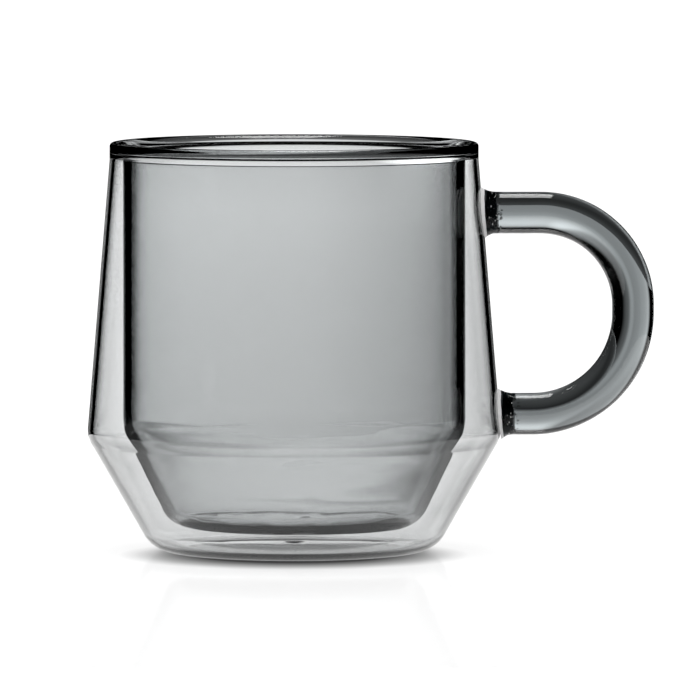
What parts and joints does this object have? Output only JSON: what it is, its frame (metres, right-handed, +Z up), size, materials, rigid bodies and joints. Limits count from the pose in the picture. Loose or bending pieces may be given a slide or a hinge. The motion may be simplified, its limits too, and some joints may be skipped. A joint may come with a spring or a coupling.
{
  "type": "double walled glass cup",
  "caption": "Handled drinking cup with two fused glass walls round a sealed air gap, tapered sides and a narrower base.",
  "frame": {"origin": "on the cup's axis at table height, in the middle of the ring that the base stands on", "axes": "+Z up along the cup's axis, +X out through the handle, +Y square to the handle's plane"},
  "size_m": [0.1329, 0.097, 0.096],
  "materials": {
    "smoke_glass": "clear fire-polished borosilicate glass with a light smoke grey tint",
    "smoke_glass_rod": "the same smoke grey glass as a solid rod, so it looks darker"
  },
  "bodies": {
    "root": {"outer_wall": "smoke_glass", "inner_wall": "smoke_glass", "rim_ring": "smoke_glass", "handle": "smoke_glass_rod", "handle_upper_weld": "smoke_glass_rod", "handle_lower_weld": "smoke_glass_rod", "vent_seal": "smoke_glass"}
  },
  "joints": []
}
